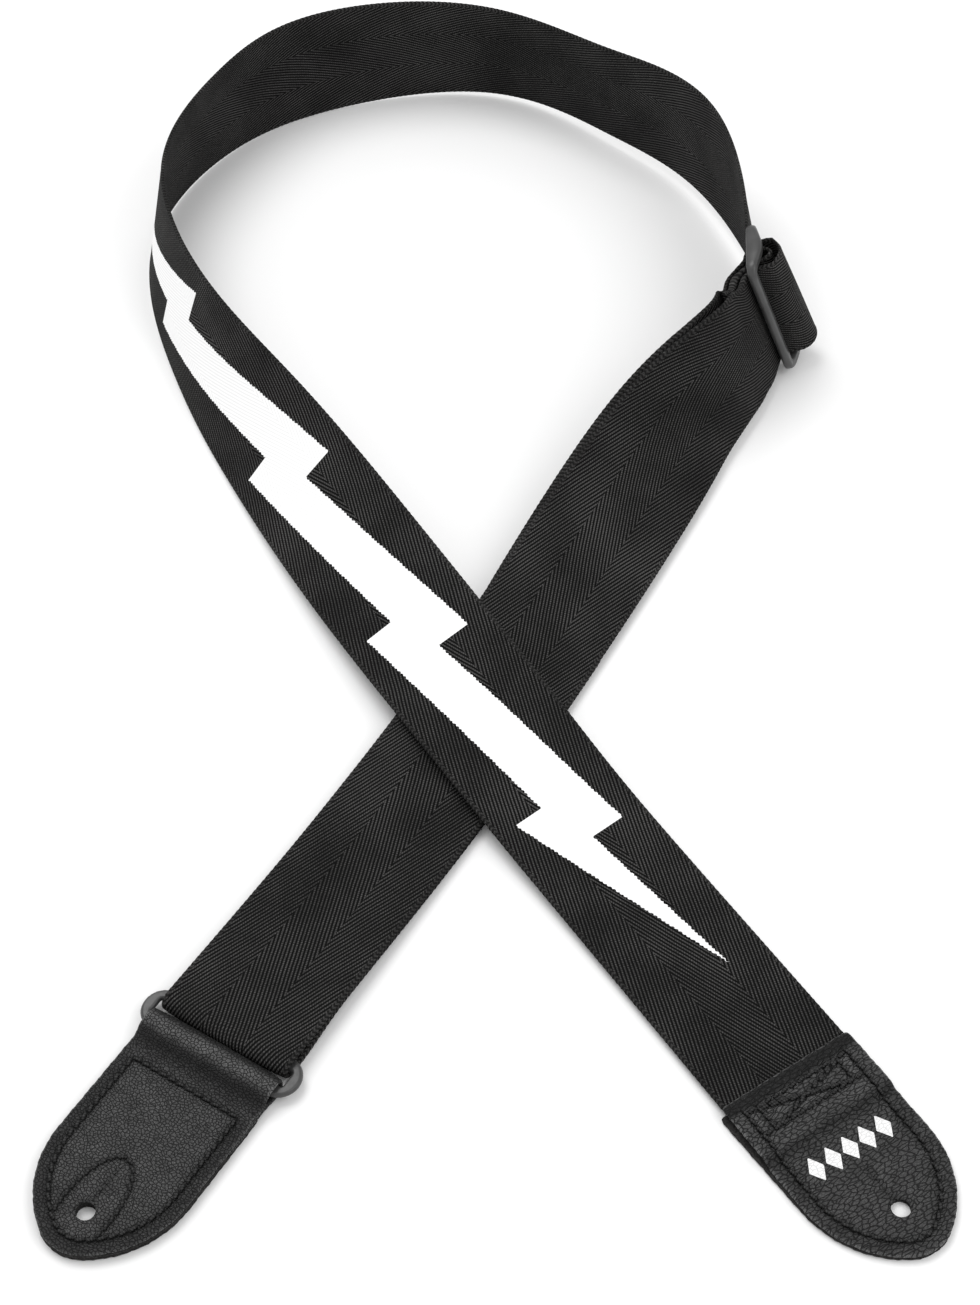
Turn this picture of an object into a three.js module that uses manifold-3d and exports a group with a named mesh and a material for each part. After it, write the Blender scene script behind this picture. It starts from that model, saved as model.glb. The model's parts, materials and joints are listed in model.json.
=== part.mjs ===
// Guitar strap of two-inch webbing, lying in a loop on a flat surface. Millimetres, +Z up.
// One tab of leather is sewn to the webbing. The other hangs on a flat ring, which the webbing
// wraps before it comes back to the slider that sets the strap's length.
import * as THREE from "three";
import { mergeVertices } from "three/addons/utils/BufferGeometryUtils.js";
import Module from "manifold-3d";

const wasm = await Module();
wasm.setup();

// Webbing
const WEBBING_WIDTH = 49;
const WEBBING = 1.4; // thickness
const LAYER_PITCH = 1.9; // between the centre lines of two webbing layers that lie together
const SECTION_GAP = 0.3; // between two nodes of the one strip
const PATH_STEP = 12; // length of a facet along the strap
const PAIR_STEP = 6; // and where two layers lie together
const WIDTH_FACETS = 4;

// The strap's lie: control stations of a cubic B-spline, each as x, y, lean and lift.
// Lean is the webbing's tilt in degrees, 0 flat and 90 on edge. Lift is its lower edge above the floor.
const STATIONS = [
  [93.6, -218.2, 0, 2.2],
  [49, -152, 0, 2.2],
  [24, -118, 1, 6],
  [-1, -83, 7, 11],
  [-45, -15, 23, 5.5],
  [-85, 50, 48, 0.5],
  [-116, 95, 73, 0.5],
  [-144, 173, 80, 1.5],
  [-114, 237, 82, 0.5],
  [-77, 273, 101, 0],
  [6, 284, 80, 2],
  [52, 239, 81, 5],
  [98, 210, 97, 7],
  [114, 98, 61, 7],
  [94, 80, 77, 3],
  [63, 41, 26, 3],
  [10, -57, 7, 2.9],
  [-32, -126, 3, 2.9],
  [-52.7, -158.9, 0, 5],
  [-81.3, -204.2, 0, 6.9],
];
const CENTRE_SHIFT = new THREE.Vector3(-2.3, 1.3, 0); // puts the middle of the footprint at the origin

// Slider, a plate with three bars
const SLIDER_PLACE = 0.6985; // fraction of the strap's path
const SLIDER_LENGTH = 59;
const SLIDER_WIDTH = 29;
const SLIDER_THICKNESS = 3.4;
const SLIDER_CORNER = 6;
const SLIDER_BAR = 4.5;
const SLIDER_MIDDLE_BAR = 4.2;
const UNDER_BAR = SLIDER_THICKNESS / 2 + WEBBING / 2 + 0.45; // from the slider's middle to the webbing
// Loop that the webbing makes over the slider's middle bar, from the bars' own plane
const HUMP = { height: 11.3, half: 7, foot: 13.5, footPull: 8, waist: 3.5, belly: 0.6, crownPull: 4.6, sag: 2.8 };
const SLIDER_REACH = 35; // of the section of webbing that goes with the slider
const HOLD_FLAT = 16; // the slider holds the webbing flat this far each way
const HOLD_FREE = 31; // and from here on it is free
const SEWN_REACH = 62; // from the slider to the start of the returning layer's end section
const SEWN_WRAP = 3.4; // radius of the webbing round the middle bar
const SEWN_BEHIND = UNDER_BAR - 6.7; // centre line of the layer behind the bars
const SEWN_TAIL = UNDER_BAR - 4.6; // and of the tail sewn to it
const TAIL_REACH = 26;
const SEAM_REACH = 16; // of the thread that holds the tail
const RETURN_SPREAD = [50, 17]; // the returning layer leaves the top layer between these reaches
const CORNER_CUT = 8; // it bows inwards there, across the bend at the slider
const WRAP_SETTLE = 32; // from the ring to where the returning layer lies against the top layer

// Ring, a plate with one slot
const RING_LENGTH = 60;
const RING_BAR = 4.6;
const RING_SLOT = 5.9;
const RING_WIDTH = RING_SLOT + 2 * RING_BAR;
const RING_THICKNESS = 2.4;
const RING_PIVOTS = RING_SLOT + RING_BAR; // between the middles of its two bars
const RING_CORNER = 7.4;
const SLOT_LENGTH = 51.2; // of the ring's slot and the slider's
const SLOT_CORNER = 0.8;
const WRAP_RISE = 3.05; // webbing's centre line above and below the ring's bar
const WRAP_RUN = 3.7; // and beyond it
const RING_HEIGHT = STATIONS.at(-1)[3] - WRAP_RISE;

// Leather tabs
const TAB_HALF_WIDTH = 25;
const TAB_TIP_RADIUS = 15;
const TAB_STRAIGHT_STOP = 33; // the straight sides end this far before the tip
const LEATHER = 1.2;
const LAYER_GAP = 0.3;
const LAYER = LEATHER + LAYER_GAP;
const HOLE_RADIUS = 3.1;
const SLIT_HALF = 0.3;
const SLIT_REACH = 17.5; // from the hole's middle to the slit's end
const THREAD_RADIUS = 0.35;
const THREAD_RISE = 0.6; // of a thread's middle above the leather

const SEWN_TAB = { tip: 73.2, hole: 56.8, inset: 5, step: 21, stepRun: 3.5, back: 1.5 };
const HANGING_TAB = { tip: 78.3, hole: 63.8, inset: 4.8, seam: 13.8, tail: 25, back: 9.3, top: 12 };
// Leather's roll round the ring's bar: its inner half sizes, where its top comes down, and its curves' pulls
const ROLL = { run: 3, rise: 2.55, crownPull: 5, facePull: 7, inside: 0.6, footPull: 4 };
// Egg-shaped thread round the button hole, open for a stretch at the tip
const EYE = { middle: 62.8, reach: 19.5, half: 8.6, open: 1.34 };
const BOX = { near: 6, far: 15, outer: 19.4, inner: 15.5 }; // box-and-cross thread of the sewn tab

const MATERIALS = {
  webbing: new THREE.MeshStandardMaterial({ color: 0x1d1c1e, roughness: 0.9, metalness: 0 }),
  leather: new THREE.MeshStandardMaterial({ color: 0x343436, roughness: 0.6, metalness: 0 }),
  thread: new THREE.MeshStandardMaterial({ color: 0x0e0e10, roughness: 0.8, metalness: 0 }),
  plastic: new THREE.MeshStandardMaterial({ color: 0x3e3f42, roughness: 0.45, metalness: 0 }),
};

// ---------- the strap's path ----------

// Smooth curve of the strap's centre line when it lies on the floor.
class StrapPath extends THREE.Curve {
  constructor(stations) {
    super();
    this.arcLengthDivisions = 600;
    const beyond = (end, next) => end.map((value, k) => 2 * value - next[k]);
    this.spans = stations.length - 1;
    this.controls = [
      beyond(stations[0], stations[1]),
      ...stations,
      beyond(stations.at(-1), stations.at(-2)),
    ];
  }
  // x, y, lean and lift at t
  channels(t) {
    const place = THREE.MathUtils.clamp(t, 0, 1) * this.spans;
    const span = Math.min(Math.floor(place), this.spans - 1);
    const f = place - span;
    const weights = [(1 - f) ** 3, 3 * f ** 3 - 6 * f * f + 4, 1 + 3 * f + 3 * f * f - 3 * f ** 3, f ** 3];
    return [0, 1, 2, 3].map((k) =>
      weights.reduce((sum, weight, j) => sum + (weight * this.controls[span + j][k]) / 6, 0),
    );
  }
  getPoint(t, target = new THREE.Vector3()) {
    const [x, y, lean, lift] = this.channels(t);
    const rise = (WEBBING_WIDTH / 2) * Math.sin(THREE.MathUtils.degToRad(lean));
    return target.set(x, y, lift + rise);
  }
}

const path = new StrapPath(STATIONS);
const PATH_LENGTH = path.getLength();
const SLIDER_AT = SLIDER_PLACE * PATH_LENGTH;

// Origin and directions of the webbing at a distance s along the strap, straight on beyond its ends.
function frameAt(s) {
  const reached = THREE.MathUtils.clamp(s, 0, PATH_LENGTH);
  const t = path.getUtoTmapping(reached / PATH_LENGTH);
  const along = path.getTangent(t);
  const isEnd = reached <= 0 || reached >= PATH_LENGTH;
  if (isEnd) along.setZ(0).normalize();
  const side = along.clone().cross(new THREE.Vector3(0, 0, 1)).normalize();
  const up = side.clone().cross(along);
  const lean = THREE.MathUtils.degToRad(path.channels(t)[2]);
  const across = side.multiplyScalar(Math.cos(lean)).addScaledVector(up, Math.sin(lean));
  const out = across.clone().cross(along);
  const origin = path.getPoint(t).addScaledVector(along, s - reached);
  return { origin, along, across, out };
}

const sliderFrame = frameAt(SLIDER_AT);

function pointIn(frame, along, across, out) {
  return frame.origin
    .clone()
    .addScaledVector(frame.along, along)
    .addScaledVector(frame.across, across)
    .addScaledVector(frame.out, out);
}

// A point of the webbing: s along the strap, across it, and out from its centre line.
function layPoint(s, across, out) {
  const free = pointIn(frameAt(s), 0, across, out);
  const fromSlider = Math.abs(s - SLIDER_AT);
  const held = pointIn(sliderFrame, s - SLIDER_AT, across, out);
  return free.lerp(held, 1 - THREE.MathUtils.smoothstep(fromSlider, HOLD_FLAT, HOLD_FREE));
}

// ---------- solids ----------

function solidFrom(geometry) {
  const bare = geometry.clone();
  bare.deleteAttribute("normal");
  bare.deleteAttribute("uv");
  const merged = mergeVertices(bare, 1e-4);
  const vertProperties = merged.attributes.position.array;
  const triVerts = new Uint32Array(merged.index.array);
  return new wasm.Manifold(new wasm.Mesh({ numProp: 3, vertProperties, triVerts }));
}

function geometryFrom(solid) {
  const mesh = solid.getMesh();
  const geometry = new THREE.BufferGeometry();
  geometry.setAttribute("position", new THREE.BufferAttribute(mesh.vertProperties, 3));
  geometry.setIndex(new THREE.BufferAttribute(mesh.triVerts, 1));
  geometry.computeVertexNormals();
  return geometry;
}

// Webbing along a centre line of points (distance along the strap, distance out from it).
function ribbon(line) {
  const last = line.length - 1;
  const geometry = new THREE.BoxGeometry(WEBBING_WIDTH, last, WEBBING, WIDTH_FACETS, last, 1);
  const position = geometry.attributes.position;
  for (let i = 0; i < position.count; i++) {
    const j = Math.round(position.getY(i) + last / 2);
    const tangent = line[Math.min(j + 1, last)].clone().sub(line[Math.max(j - 1, 0)]).normalize();
    const along = line[j].x - tangent.y * position.getZ(i);
    const out = line[j].y + tangent.x * position.getZ(i);
    const point = layPoint(along, position.getX(i), out);
    position.setXYZ(i, point.x, point.y, point.z);
  }
  return geometryFrom(solidFrom(geometry));
}

// Adds a straight run to a path. It breaks at whole steps along the strap, so layers share facets.
function runTo(line, s, step) {
  const { x, y } = line.currentPoint;
  const way = Math.sign(s - x);
  const first = way > 0 ? Math.ceil(x / step + 0.2) : Math.floor(x / step - 0.2);
  for (let k = first; way * (s - k * step) > 0.2 * step; k += way) line.lineTo(k * step, y);
  line.lineTo(s, y);
}

function straightRibbon(from, to) {
  const line = new THREE.Path();
  line.moveTo(from, 0);
  runTo(line, to, PATH_STEP);
  return ribbon(line.getPoints());
}

// Webbing that passes under both outer bars of the slider and loops over its middle bar.
function humpRibbon() {
  const at = SLIDER_AT;
  const { half, foot, footPull, belly, crownPull } = HUMP;
  const top = HUMP.height + UNDER_BAR;
  const waist = HUMP.waist + UNDER_BAR;
  const shoulder = top - HUMP.sag;
  const line = new THREE.Path();
  line.moveTo(at - SLIDER_REACH, 0);
  runTo(line, at - foot, PAIR_STEP);
  line.bezierCurveTo(at - footPull, 0, at - half + belly, 2 * belly, at - half, waist);
  line.bezierCurveTo(at - half - belly, shoulder, at - crownPull, top, at, top);
  line.bezierCurveTo(at + crownPull, top, at + half + belly, shoulder, at + half, waist);
  line.bezierCurveTo(at + half - belly, 2 * belly, at + footPull, 0, at + foot, 0);
  runTo(line, at + SLIDER_REACH, PAIR_STEP);
  return ribbon(line.getPoints(7));
}

// Top layer of the back leg, round the ring's bar, and the layer that returns beneath it.
function backLegRibbon() {
  const line = new THREE.Path();
  const settle = PATH_LENGTH - WRAP_SETTLE;
  const [early, late] = [0.4, 0.55]; // pulls of the bend between the two heights
  line.moveTo(SLIDER_AT + SLIDER_REACH + SECTION_GAP, 0);
  runTo(line, PATH_LENGTH, PAIR_STEP);
  line.absellipse(PATH_LENGTH, -WRAP_RISE, WRAP_RUN, WRAP_RISE, Math.PI / 2, -Math.PI / 2, true);
  line.bezierCurveTo(
    PATH_LENGTH - early * WRAP_SETTLE,
    -2 * WRAP_RISE,
    PATH_LENGTH - late * WRAP_SETTLE,
    -LAYER_PITCH,
    settle,
    -LAYER_PITCH,
  );
  runTo(line, SLIDER_AT + SEWN_REACH + SECTION_GAP, PAIR_STEP);
  return ribbon(line.getPoints(6));
}

// End of the returning layer: round the slider's middle bar, and sewn back on itself.
function sewnEndRibbon() {
  const at = SLIDER_AT;
  const [leaves, lies] = RETURN_SPREAD;
  const pull = (leaves - lies) * 0.38;
  const under = UNDER_BAR - SEWN_WRAP;
  const rise = 3.6 * SEWN_WRAP; // length of the run up to the bar
  const line = new THREE.Path();
  line.moveTo(at + SEWN_REACH, -LAYER_PITCH);
  runTo(line, at + leaves, PAIR_STEP);
  line.bezierCurveTo(
    at + leaves - pull,
    -LAYER_PITCH,
    at + lies + pull,
    SEWN_BEHIND - CORNER_CUT,
    at + lies,
    SEWN_BEHIND,
  );
  runTo(line, at + rise, PAIR_STEP);
  line.bezierCurveTo(at + SEWN_WRAP * 1.5, SEWN_BEHIND, at + SEWN_WRAP, under, at, under);
  line.absarc(at, UNDER_BAR, SEWN_WRAP, -Math.PI / 2, 0, true);
  line.bezierCurveTo(at + SEWN_WRAP, 0.6, at + 2 * SEWN_WRAP, SEWN_TAIL, at + rise, SEWN_TAIL);
  runTo(line, at + TAIL_REACH, PAIR_STEP);
  return ribbon(line.getPoints(6));
}

// Points of a closed outline, without those that repeat where its curves meet.
function outlinePoints(outline, divisions) {
  const points = outline.getPoints(divisions);
  return points.filter((point, i) => point.distanceTo(points.at(i - 1)) > 0.01);
}

// Rectangle with rounded corners, round the origin.
function roundedRectangle(target, width, height, radius) {
  const x = width / 2 - radius;
  const y = height / 2 - radius;
  const quarter = Math.PI / 2;
  target.absarc(x, y, radius, 0, quarter);
  target.absarc(-x, y, radius, quarter, 2 * quarter);
  target.absarc(-x, -y, radius, 2 * quarter, 3 * quarter);
  target.absarc(x, -y, radius, 3 * quarter, 4 * quarter);
  target.closePath();
  return target;
}

// Plate with rounded edges and slots across its width, in the middle of the origin.
function slottedPlate({ length, width, thickness, corner, edge, slots }) {
  const shape = new THREE.Shape(
    outlinePoints(roundedRectangle(new THREE.Path(), length, width, corner), 4),
  );
  shape.holes = slots.map(({ middle, opening }) => {
    const slot = roundedRectangle(new THREE.Path(), SLOT_LENGTH, opening, SLOT_CORNER);
    return new THREE.Path(outlinePoints(slot, 2).map((p) => p.setY(p.y + middle)));
  });
  const geometry = new THREE.ExtrudeGeometry(shape, {
    depth: thickness - 2 * edge,
    bevelThickness: edge,
    bevelSize: edge,
    bevelOffset: -edge,
    bevelSegments: 1,
  });
  return geometry.translate(0, 0, edge - thickness / 2);
}

function sliderGeometry() {
  const opening = (SLIDER_WIDTH - 2 * SLIDER_BAR - SLIDER_MIDDLE_BAR) / 2;
  const middle = (SLIDER_MIDDLE_BAR + opening) / 2;
  return slottedPlate({
    length: SLIDER_LENGTH,
    width: SLIDER_WIDTH,
    thickness: SLIDER_THICKNESS,
    corner: SLIDER_CORNER,
    edge: 0.6,
    slots: [
      { middle: -middle, opening },
      { middle, opening },
    ],
  });
}

function ringGeometry() {
  return slottedPlate({
    length: RING_LENGTH,
    width: RING_WIDTH,
    thickness: RING_THICKNESS,
    corner: RING_CORNER,
    edge: 0.8,
    slots: [{ middle: 0, opening: RING_SLOT }],
  });
}

// ---------- leather tabs: x from the webbing to the tip, y across, z up from the floor ----------

// Draws a tab's outline, set in from its edge, from one straight side round the tip to the other.
function bulletOutline(target, tip, inset, start) {
  const half = TAB_HALF_WIDTH;
  const straight = tip - TAB_STRAIGHT_STOP;
  const tipCentre = tip - TAB_TIP_RADIUS;
  const run = tipCentre - straight;
  const sideRadius = (run ** 2 + half ** 2 - TAB_TIP_RADIUS ** 2) / (2 * (half - TAB_TIP_RADIUS));
  const turn = Math.atan2(sideRadius - half, run);
  const quarter = Math.PI / 2;
  target.moveTo(start, half - inset);
  target.lineTo(straight, half - inset);
  target.absarc(straight, half - sideRadius, sideRadius - inset, quarter, turn, true);
  target.absarc(tipCentre, 0, TAB_TIP_RADIUS - inset, turn, -turn, true);
  target.absarc(straight, sideRadius - half, sideRadius - inset, -turn, -quarter, true);
  target.lineTo(start, inset - half);
  return target;
}

// Button hole with the slit that runs from it towards the webbing.
function keyhole(centre) {
  const opening = new THREE.Path();
  const mouth = Math.asin(SLIT_HALF / HOLE_RADIUS);
  opening.moveTo(centre - SLIT_REACH, SLIT_HALF);
  opening.lineTo(centre - HOLE_RADIUS * Math.cos(mouth), SLIT_HALF);
  opening.absarc(centre, 0, HOLE_RADIUS, Math.PI - mouth, mouth - Math.PI, true);
  opening.lineTo(centre - SLIT_REACH, -SLIT_HALF);
  return opening;
}

// Flat tab-shaped prism with its button hole.
function tabPrism(tab, start, bottom, height) {
  const outline = bulletOutline(new THREE.Path(), tab.tip, 0, start);
  const shape = new THREE.Shape(outlinePoints(outline, 10).reverse());
  shape.holes = [new THREE.Path(outlinePoints(keyhole(tab.hole), 20))];
  const geometry = new THREE.ExtrudeGeometry(shape, { depth: height, bevelEnabled: false });
  return geometry.translate(0, 0, bottom);
}

// Side profile (x, z) carried across the tab's width and trimmed to its outline.
function trimmedProfile(profile, tab, start) {
  const tall = 20;
  const slab = new THREE.ExtrudeGeometry(new THREE.Shape(outlinePoints(profile, 8)), {
    depth: 4 * TAB_HALF_WIDTH,
    bevelEnabled: false,
  });
  slab.rotateX(Math.PI / 2);
  slab.translate(0, 2 * TAB_HALF_WIDTH, 0);
  const outline = solidFrom(tabPrism(tab, start, -tall / 2, tall));
  return geometryFrom(solidFrom(slab).intersect(outline));
}

// Height of the sewn tab's top face: raised over the webbing's end, and lower past it.
function sewnTabTop(x) {
  const over = THREE.MathUtils.clamp((x - SEWN_TAB.step) / SEWN_TAB.stepRun, 0, 1);
  return THREE.MathUtils.lerp(2 * LAYER_GAP + WEBBING + 2 * LEATHER, LAYER + LEATHER, over);
}

function sewnTabFront() {
  const { step, stepRun, tip } = SEWN_TAB;
  const raised = sewnTabTop(0);
  const lowered = sewnTabTop(tip);
  const profile = new THREE.Path();
  profile.moveTo(0, raised - LEATHER);
  profile.lineTo(step, raised - LEATHER);
  profile.lineTo(step + stepRun, lowered - LEATHER);
  profile.lineTo(tip + 1, lowered - LEATHER);
  profile.lineTo(tip + 1, lowered);
  profile.lineTo(step + stepRun, lowered);
  profile.lineTo(step, raised);
  profile.lineTo(0, raised);
  profile.closePath();
  return trimmedProfile(profile, SEWN_TAB, 0);
}

// Front leather of the hanging tab: it rolls round the ring's bar and ends under itself.
function hangingTabFront() {
  const { tip, tail, back, top } = HANGING_TAB;
  const { crownPull, facePull, inside, footPull } = ROLL;
  const face = 2 * LAYER + LEATHER;
  const run = ROLL.run + LEATHER;
  const rise = ROLL.rise + LEATHER;
  const floor = RING_HEIGHT - rise;
  const crown = RING_HEIGHT + rise;
  const half = Math.PI / 2;
  const profile = new THREE.Path();
  profile.moveTo(tip + 1, face);
  profile.lineTo(top, face);
  profile.bezierCurveTo(facePull, face, crownPull, crown, 0, crown);
  profile.absellipse(0, RING_HEIGHT, run, rise, half, 3 * half);
  profile.bezierCurveTo(ROLL.run, floor, back - footPull, LAYER, back - 1, LAYER);
  profile.lineTo(tail, LAYER);
  profile.lineTo(tail, LAYER + LEATHER);
  profile.lineTo(back - 1, LAYER + LEATHER);
  profile.bezierCurveTo(back - footPull, LAYER + LEATHER, ROLL.run, floor + LEATHER, 0, floor + LEATHER);
  profile.absellipse(0, RING_HEIGHT, ROLL.run, ROLL.rise, 3 * half, half, true);
  const under = face - LEATHER;
  profile.bezierCurveTo(crownPull - inside, crown - LEATHER, facePull - inside, under, top, under);
  profile.lineTo(tip + 1, face - LEATHER);
  profile.closePath();
  return trimmedProfile(profile, HANGING_TAB, -2 * run);
}

// Thread along a curve of points on a tab, lying on its top face.
function threadAlong(points, heightAt, steps) {
  const line = points.map((p) => new THREE.Vector3(p.x, p.y, heightAt(p.x) + THREAD_RISE));
  const section = new THREE.Shape().absarc(0, 0, THREAD_RADIUS, 0, 2 * Math.PI);
  const geometry = new THREE.ExtrudeGeometry(section, {
    steps,
    curveSegments: 3,
    bevelEnabled: false,
    extrudePath: new THREE.CatmullRomCurve3(line),
  });
  return geometryFrom(solidFrom(geometry));
}

function borderThread(tab, start, heightAt) {
  const outline = bulletOutline(new THREE.Path(), tab.tip, tab.inset, start);
  return threadAlong(outline.getSpacedPoints(48), heightAt, 56);
}

// Straight bar of thread between two points.
function stitchBar(from, to) {
  const reach = to.clone().sub(from);
  const geometry = new THREE.CylinderGeometry(THREAD_RADIUS, THREAD_RADIUS, reach.length(), 6);
  const turn = new THREE.Quaternion().setFromUnitVectors(new THREE.Vector3(0, 1, 0), reach.normalize());
  geometry.applyQuaternion(turn);
  const middle = from.clone().add(to).multiplyScalar(0.5);
  return solidFrom(geometry.translate(middle.x, middle.y, middle.z));
}

// Box with a cross in it, which holds the webbing's end between the leathers.
function boxThread() {
  const { near, far, outer, inner } = BOX;
  const z = sewnTabTop(0) + THREAD_RISE;
  const at = (x, y) => new THREE.Vector3(x, y, z);
  const bars = [
    [at(near, -outer), at(near, outer)],
    [at(far, -outer), at(far, outer)],
    [at(near, -inner), at(far, -inner)],
    [at(near, inner), at(far, inner)],
    [at(near, -inner), at(far, inner)],
    [at(near, inner), at(far, -inner)],
  ];
  const solids = bars.map(([from, to]) => stitchBar(from, to));
  return geometryFrom(solids.reduce((joined, bar) => joined.add(bar)));
}

function seamThread(x, half, height) {
  return geometryFrom(stitchBar(new THREE.Vector3(x, -half, height), new THREE.Vector3(x, half, height)));
}

function eyeThread() {
  const egg = new THREE.Path();
  egg.absellipse(EYE.middle, 0, EYE.reach, EYE.half, EYE.open, 2 * Math.PI - EYE.open);
  return threadAlong(egg.getSpacedPoints(30), () => 2 * LAYER + LEATHER, 36);
}

// ---------- assembly ----------

const strap = new THREE.Group();

function addMesh(parent, name, geometry, material) {
  const mesh = new THREE.Mesh(geometry, MATERIALS[material].clone());
  mesh.name = name;
  parent.add(mesh);
}

// Group whose x, y and z axes are the three given directions.
function groupAt(origin, x, y, z) {
  const group = new THREE.Group();
  group.quaternion.setFromRotationMatrix(new THREE.Matrix4().makeBasis(x, y, z));
  group.position.copy(origin);
  strap.add(group);
  return group;
}

const start = frameAt(0);
const end = frameAt(PATH_LENGTH);

const ARC_START = 430; // the front leg's section ends here, in the fold
const FLEX_REACH = 10; // webbing beside the sewn tab that bends with it
const halfGap = SECTION_GAP / 2;
addMesh(strap, "webbing_tab_end", straightRibbon(0.5 - SEWN_TAB.step, -halfGap), "webbing");
addMesh(strap, "webbing_tab_flex", straightRibbon(halfGap, FLEX_REACH), "webbing");
addMesh(strap, "webbing_front_leg", straightRibbon(FLEX_REACH + SECTION_GAP, ARC_START), "webbing");
addMesh(
  strap,
  "webbing_arc",
  straightRibbon(ARC_START + SECTION_GAP, SLIDER_AT - SLIDER_REACH - SECTION_GAP),
  "webbing",
);
addMesh(strap, "webbing_at_slider", humpRibbon(), "webbing");
addMesh(strap, "webbing_back_leg", backLegRibbon(), "webbing");
addMesh(strap, "webbing_sewn_end", sewnEndRibbon(), "webbing");

const sliderGroup = groupAt(
  pointIn(sliderFrame, 0, 0, UNDER_BAR),
  sliderFrame.across,
  sliderFrame.along,
  sliderFrame.out,
);
addMesh(sliderGroup, "slider", sliderGeometry(), "plastic");
const seamSide = SEWN_BEHIND - UNDER_BAR - WEBBING / 2 - THREAD_RISE;
const seamHalf = WEBBING_WIDTH / 2 - 2.5;
const sliderSeam = seamThread(0, seamHalf, 0).rotateZ(Math.PI / 2).translate(0, SEAM_REACH, seamSide);
addMesh(sliderGroup, "slider_seam_thread", sliderSeam, "thread");

const farBar = end.origin.clone().setZ(RING_HEIGHT);
const ringGroup = groupAt(
  farBar.clone().addScaledVector(end.along, RING_PIVOTS / 2),
  end.across,
  end.along,
  end.out,
);
addMesh(ringGroup, "ring", ringGeometry(), "plastic");

const sewnTab = groupAt(
  start.origin.clone().setZ(0),
  start.along.clone().negate(),
  start.across,
  start.out,
);
const sewnBack = tabPrism(SEWN_TAB, SEWN_TAB.back, 0, LEATHER);
addMesh(sewnTab, "sewn_tab_front_leather", sewnTabFront(), "leather");
addMesh(sewnTab, "sewn_tab_back_leather", sewnBack, "leather");
const bridged = (x) => sewnTabTop(x - 1.5); // the thread spans the foot of the step
addMesh(sewnTab, "sewn_tab_border_thread", borderThread(SEWN_TAB, 4.5, bridged), "thread");
addMesh(sewnTab, "sewn_tab_box_thread", boxThread(), "thread");

const hangingTab = groupAt(
  farBar.clone().setZ(0).addScaledVector(end.along, RING_PIVOTS),
  end.along,
  end.across.clone().negate(),
  end.out,
);
const { tail, back, seam } = HANGING_TAB;
const faceHeight = 2 * LAYER + LEATHER;
const core = tabPrism(HANGING_TAB, tail + LAYER_GAP, LAYER, LEATHER);
addMesh(hangingTab, "hanging_tab_front_leather", hangingTabFront(), "leather");
addMesh(hangingTab, "hanging_tab_core", core, "leather");
addMesh(hangingTab, "hanging_tab_back_leather", tabPrism(HANGING_TAB, back, 0, LEATHER), "leather");
addMesh(
  hangingTab,
  "hanging_tab_border_thread",
  borderThread(HANGING_TAB, seam + 1, () => faceHeight),
  "thread",
);
addMesh(
  hangingTab,
  "hanging_tab_seam_thread",
  seamThread(seam, TAB_HALF_WIDTH - HANGING_TAB.inset, faceHeight + THREAD_RISE),
  "thread",
);
addMesh(hangingTab, "hanging_tab_eye_thread", eyeThread(), "thread");

strap.position.copy(CENTRE_SHIFT);

export default strap;
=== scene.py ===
"""Looks of a guitar strap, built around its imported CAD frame. Metres, +Z up.

The webbing is one strip, modelled directly along the same path as its CAD solids and cut into
pieces where a joint needs it. Leathers, plastic plates and lozenges are slabs shaped by signed
distances from their outlines.
"""

import json
import math

import bpy
import numpy as np
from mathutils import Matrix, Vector


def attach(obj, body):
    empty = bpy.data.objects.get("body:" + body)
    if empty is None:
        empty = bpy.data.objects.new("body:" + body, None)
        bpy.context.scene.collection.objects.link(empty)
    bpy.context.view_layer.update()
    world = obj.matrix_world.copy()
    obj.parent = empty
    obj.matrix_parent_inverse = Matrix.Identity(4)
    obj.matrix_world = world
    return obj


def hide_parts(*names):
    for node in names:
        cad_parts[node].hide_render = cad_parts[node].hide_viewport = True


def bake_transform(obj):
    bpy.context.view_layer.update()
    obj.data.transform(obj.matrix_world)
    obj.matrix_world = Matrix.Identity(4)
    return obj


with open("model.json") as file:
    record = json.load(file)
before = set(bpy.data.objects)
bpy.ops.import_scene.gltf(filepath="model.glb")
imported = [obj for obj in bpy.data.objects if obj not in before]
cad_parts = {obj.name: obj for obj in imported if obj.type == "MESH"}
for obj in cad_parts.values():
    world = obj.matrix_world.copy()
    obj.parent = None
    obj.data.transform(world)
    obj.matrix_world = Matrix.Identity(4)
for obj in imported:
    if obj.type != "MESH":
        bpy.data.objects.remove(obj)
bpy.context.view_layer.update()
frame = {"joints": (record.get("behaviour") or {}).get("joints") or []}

MM = 0.001
JOINTS = {joint["name"]: joint for joint in frame["joints"]}
UP = np.array([0.0, 0.0, 1.0])

# ---------------- camera, light and floor

IMAGE_HEIGHT = 1305
FOCAL_PIXELS = 2500
SENSOR = 36.0
CAMERA_PLACE = (-1.3 * MM, -621.2 * MM, 689.4 * MM)
CAMERA_DOWN = math.radians(50)
WORLD_STRENGTH = 0.8
KEY_LIGHT = ((-0.5, 0.5, 1.5), 1.1, 12)  # place, size and power
FILL_LIGHT = ((0.9, -0.5, 1.2), 1.0, 5)
FLOOR_SIZE = 6
FLOOR_DROP = 0.1 * MM


def add_object(name, data):
    made = bpy.data.objects.new(name, data)
    bpy.context.scene.collection.objects.link(made)
    return made


def make_camera():
    data = bpy.data.cameras.new("camera")
    data.sensor_width = SENSOR
    data.lens = FOCAL_PIXELS / IMAGE_HEIGHT * SENSOR
    camera = add_object("camera", data)
    camera.location = CAMERA_PLACE
    camera.rotation_euler = (math.pi / 2 - CAMERA_DOWN, 0, 0)
    bpy.context.scene.camera = camera


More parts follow.
